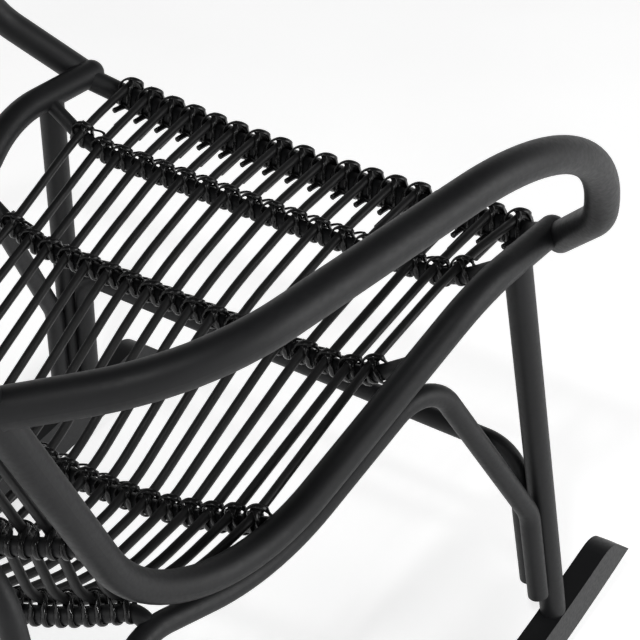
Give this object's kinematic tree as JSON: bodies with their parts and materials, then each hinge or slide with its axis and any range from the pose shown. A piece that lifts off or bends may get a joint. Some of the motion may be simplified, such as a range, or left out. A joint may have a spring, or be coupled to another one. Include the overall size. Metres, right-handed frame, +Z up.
{
  "type": "wicker rocking chair",
  "caption": "Rocking chair with a bent tube frame on two curved runners, looped arms, and a dished seat and back of parallel wicker rods hooked round the front tube and the top rail.",
  "frame": {"origin": "middle of the footprint, on the floor under the runners' flats", "axes": "+Z up, +Y towards the back of the chair (it faces -Y), +X to the sitter's left"},
  "size_m": [0.6652, 0.87, 0.8456],
  "materials": {
    "frame": "satin",
    "wicker": "satin"
  },
  "bodies": {
    "root": {"side_tube_left": "frame", "side_tube_right": "frame", "arm_left": "frame", "arm_right": "frame", "leg_left": "frame", "leg_right": "frame", "brace_left": "frame", "brace_right": "frame", "runner_left": "frame", "runner_right": "frame", "top_rail": "frame", "front_stretcher": "frame", "rear_stretcher": "frame", "front_tube": "frame", "seat_bar_1": "frame", "seat_bar_2": "frame", "seat_bar_3": "frame", "back_bar_1": "frame", "back_bar_2": "frame", "back_bar_3": "frame", "back_bar_4": "frame", "rod_01": "wicker", "rod_02": "wicker", "rod_03": "wicker", "rod_04": "wicker", "rod_05": "wicker", "rod_06": "wicker", "rod_07": "wicker", "rod_08": "wicker", "rod_09": "wicker", "rod_10": "wicker", "rod_11": "wicker", "rod_12": "wicker", "rod_13": "wicker", "rod_14": "wicker", "rod_15": "wicker", "rod_16": "wicker", "rod_17": "wicker", "rod_18": "wicker"}
  },
  "joints": []
}
